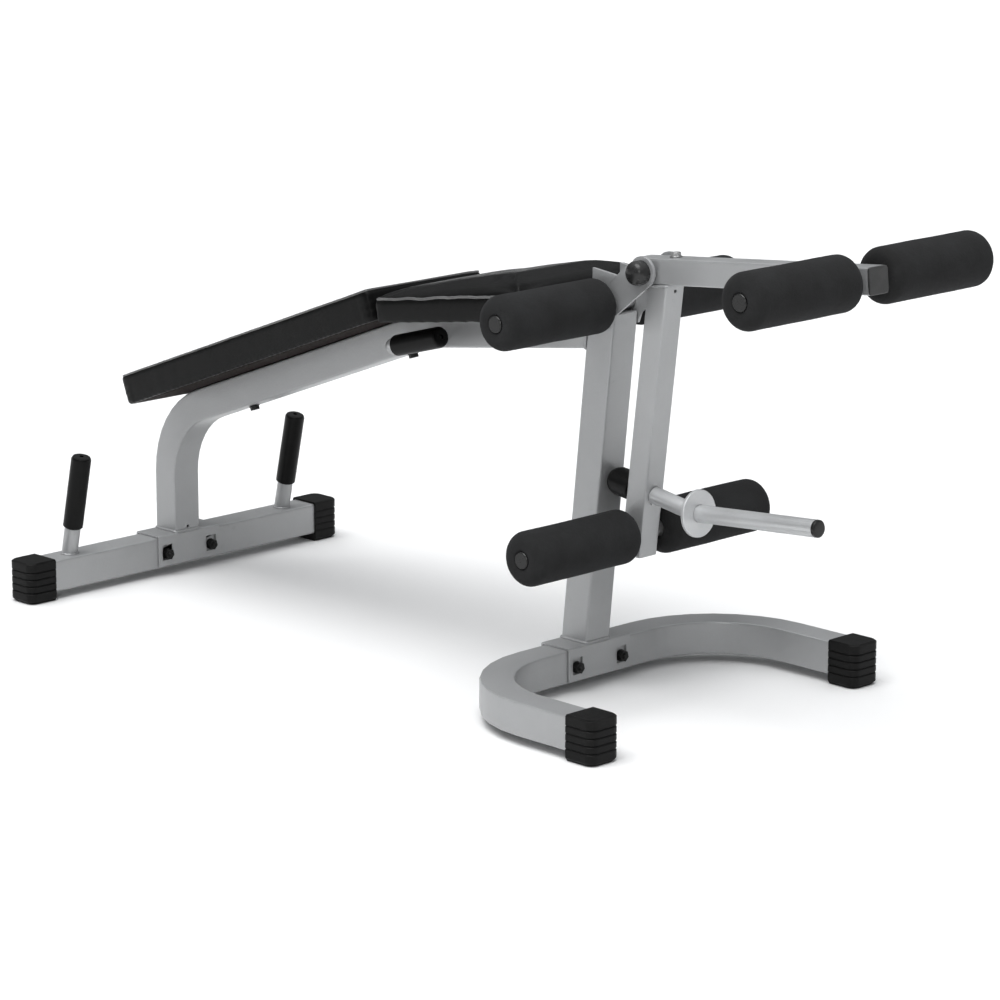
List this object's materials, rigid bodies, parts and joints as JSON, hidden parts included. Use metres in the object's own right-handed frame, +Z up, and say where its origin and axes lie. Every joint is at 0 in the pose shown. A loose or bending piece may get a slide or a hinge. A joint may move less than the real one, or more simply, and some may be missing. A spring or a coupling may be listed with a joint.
{
  "type": "leg extension and leg curl bench",
  "caption": "Low padded gym bench with a sloped back pad, a crowned seat and a plate-loaded lever with foam rollers for leg extensions and lying leg curls.",
  "frame": {"origin": "middle of the bench's floor outline, on the floor", "axes": "+X forward from the head of the back pad to the lever arms, +Y to a seated user's left, +Z up; the XZ plane is the plane of symmetry"},
  "size_m": [1.5246, 0.6504, 0.709],
  "materials": {
    "frame_paint": "satin",
    "bright_steel": "satin",
    "black_bolt": "satin",
    "foot_rubber": "matte",
    "foam": "matte",
    "grip_rubber": "matte",
    "vinyl": "satin",
    "board": "matte",
    "black_plastic": "satin"
  },
  "bodies": {
    "frame": {"rear_base_tube": "frame_paint", "front_base_tube": "frame_paint", "rear_foot_left": "foot_rubber", "rear_foot_right": "foot_rubber", "front_foot_left": "foot_rubber", "front_foot_right": "foot_rubber", "rear_saddle": "frame_paint", "front_saddle": "frame_paint", "rear_bolt_left": "bright_steel", "rear_bolt_right": "bright_steel", "front_bolt_left": "bright_steel", "front_bolt_right": "bright_steel", "main_frame": "frame_paint", "front_post": "frame_paint", "pivot_plate_left": "frame_paint", "pivot_plate_right": "frame_paint", "pivot_axle": "bright_steel", "pivot_cap_left": "black_plastic", "pivot_cap_right": "black_plastic", "back_pad_board": "board", "back_pad_cushion": "vinyl", "back_pad_bolt_front": "black_bolt", "back_pad_bolt_rear": "black_bolt", "seat_pad_board": "board", "seat_pad_cushion": "vinyl", "seat_pad_bolt_front": "black_bolt", "seat_pad_bolt_rear": "black_bolt", "rear_grip_post_left": "frame_paint", "rear_grip_post_right": "frame_paint", "rear_grip_left": "grip_rubber", "rear_grip_right": "grip_rubber", "seat_handle_bar_left": "frame_paint", "seat_handle_bar_right": "frame_paint", "seat_handle_grip_left": "grip_rubber", "seat_handle_grip_right": "grip_rubber", "knee_roller_rod": "bright_steel", "knee_roller_cap_left": "black_plastic", "knee_roller_cap_right": "black_plastic"},
    "lever": {"lever_hub": "frame_paint", "upper_lever_tube": "frame_paint", "upper_lever_cap": "black_plastic", "lower_lever_tube": "frame_paint", "lever_top_bolt": "bright_steel", "lever_bumper": "foot_rubber", "weight_peg": "bright_steel", "peg_collar": "bright_steel", "peg_end_cap": "black_plastic", "upper_roller_rod": "bright_steel", "upper_roller_cap_left": "black_plastic", "upper_roller_cap_right": "black_plastic", "lower_roller_rod": "bright_steel", "lower_roller_cap_left": "black_plastic", "lower_roller_cap_right": "black_plastic"},
    "knee_roller_left": {"knee_roller_left": "foam"},
    "knee_roller_right": {"knee_roller_right": "foam"},
    "upper_roller_left": {"upper_roller_left": "foam"},
    "upper_roller_right": {"upper_roller_right": "foam"},
    "lower_roller_left": {"lower_roller_left": "foam"},
    "lower_roller_right": {"lower_roller_right": "foam"}
  },
  "joints": [
    {"name": "lever_hinge", "type": "hinge", "parent": "frame", "child": "lever", "pos_m": [0.34325, 0, 0.633], "axis": [0, -1, 0], "range_deg": [0, 110]},
    {"name": "knee_roller_spin_left", "type": "hinge", "parent": "frame", "child": "knee_roller_left", "pos_m": [0.26475, 0, 0.5762], "axis": [0, 1, 0], "continuous": true},
    {"name": "knee_roller_spin_right", "type": "hinge", "parent": "frame", "child": "knee_roller_right", "pos_m": [0.26475, 0, 0.5762], "axis": [0, 1, 0], "continuous": true},
    {"name": "upper_roller_spin_left", "type": "hinge", "parent": "lever", "child": "upper_roller_left", "pos_m": [0.72225, 0, 0.669], "axis": [0, 1, 0], "continuous": true},
    {"name": "upper_roller_spin_right", "type": "hinge", "parent": "lever", "child": "upper_roller_right", "pos_m": [0.72225, 0, 0.669], "axis": [0, 1, 0], "continuous": true},
    {"name": "lower_roller_spin_left", "type": "hinge", "parent": "lever", "child": "lower_roller_left", "pos_m": [0.31745, 0, 0.2472], "axis": [0, 1, 0], "continuous": true},
    {"name": "lower_roller_spin_right", "type": "hinge", "parent": "lever", "child": "lower_roller_right", "pos_m": [0.31745, 0, 0.2472], "axis": [0, 1, 0], "continuous": true}
  ]
}
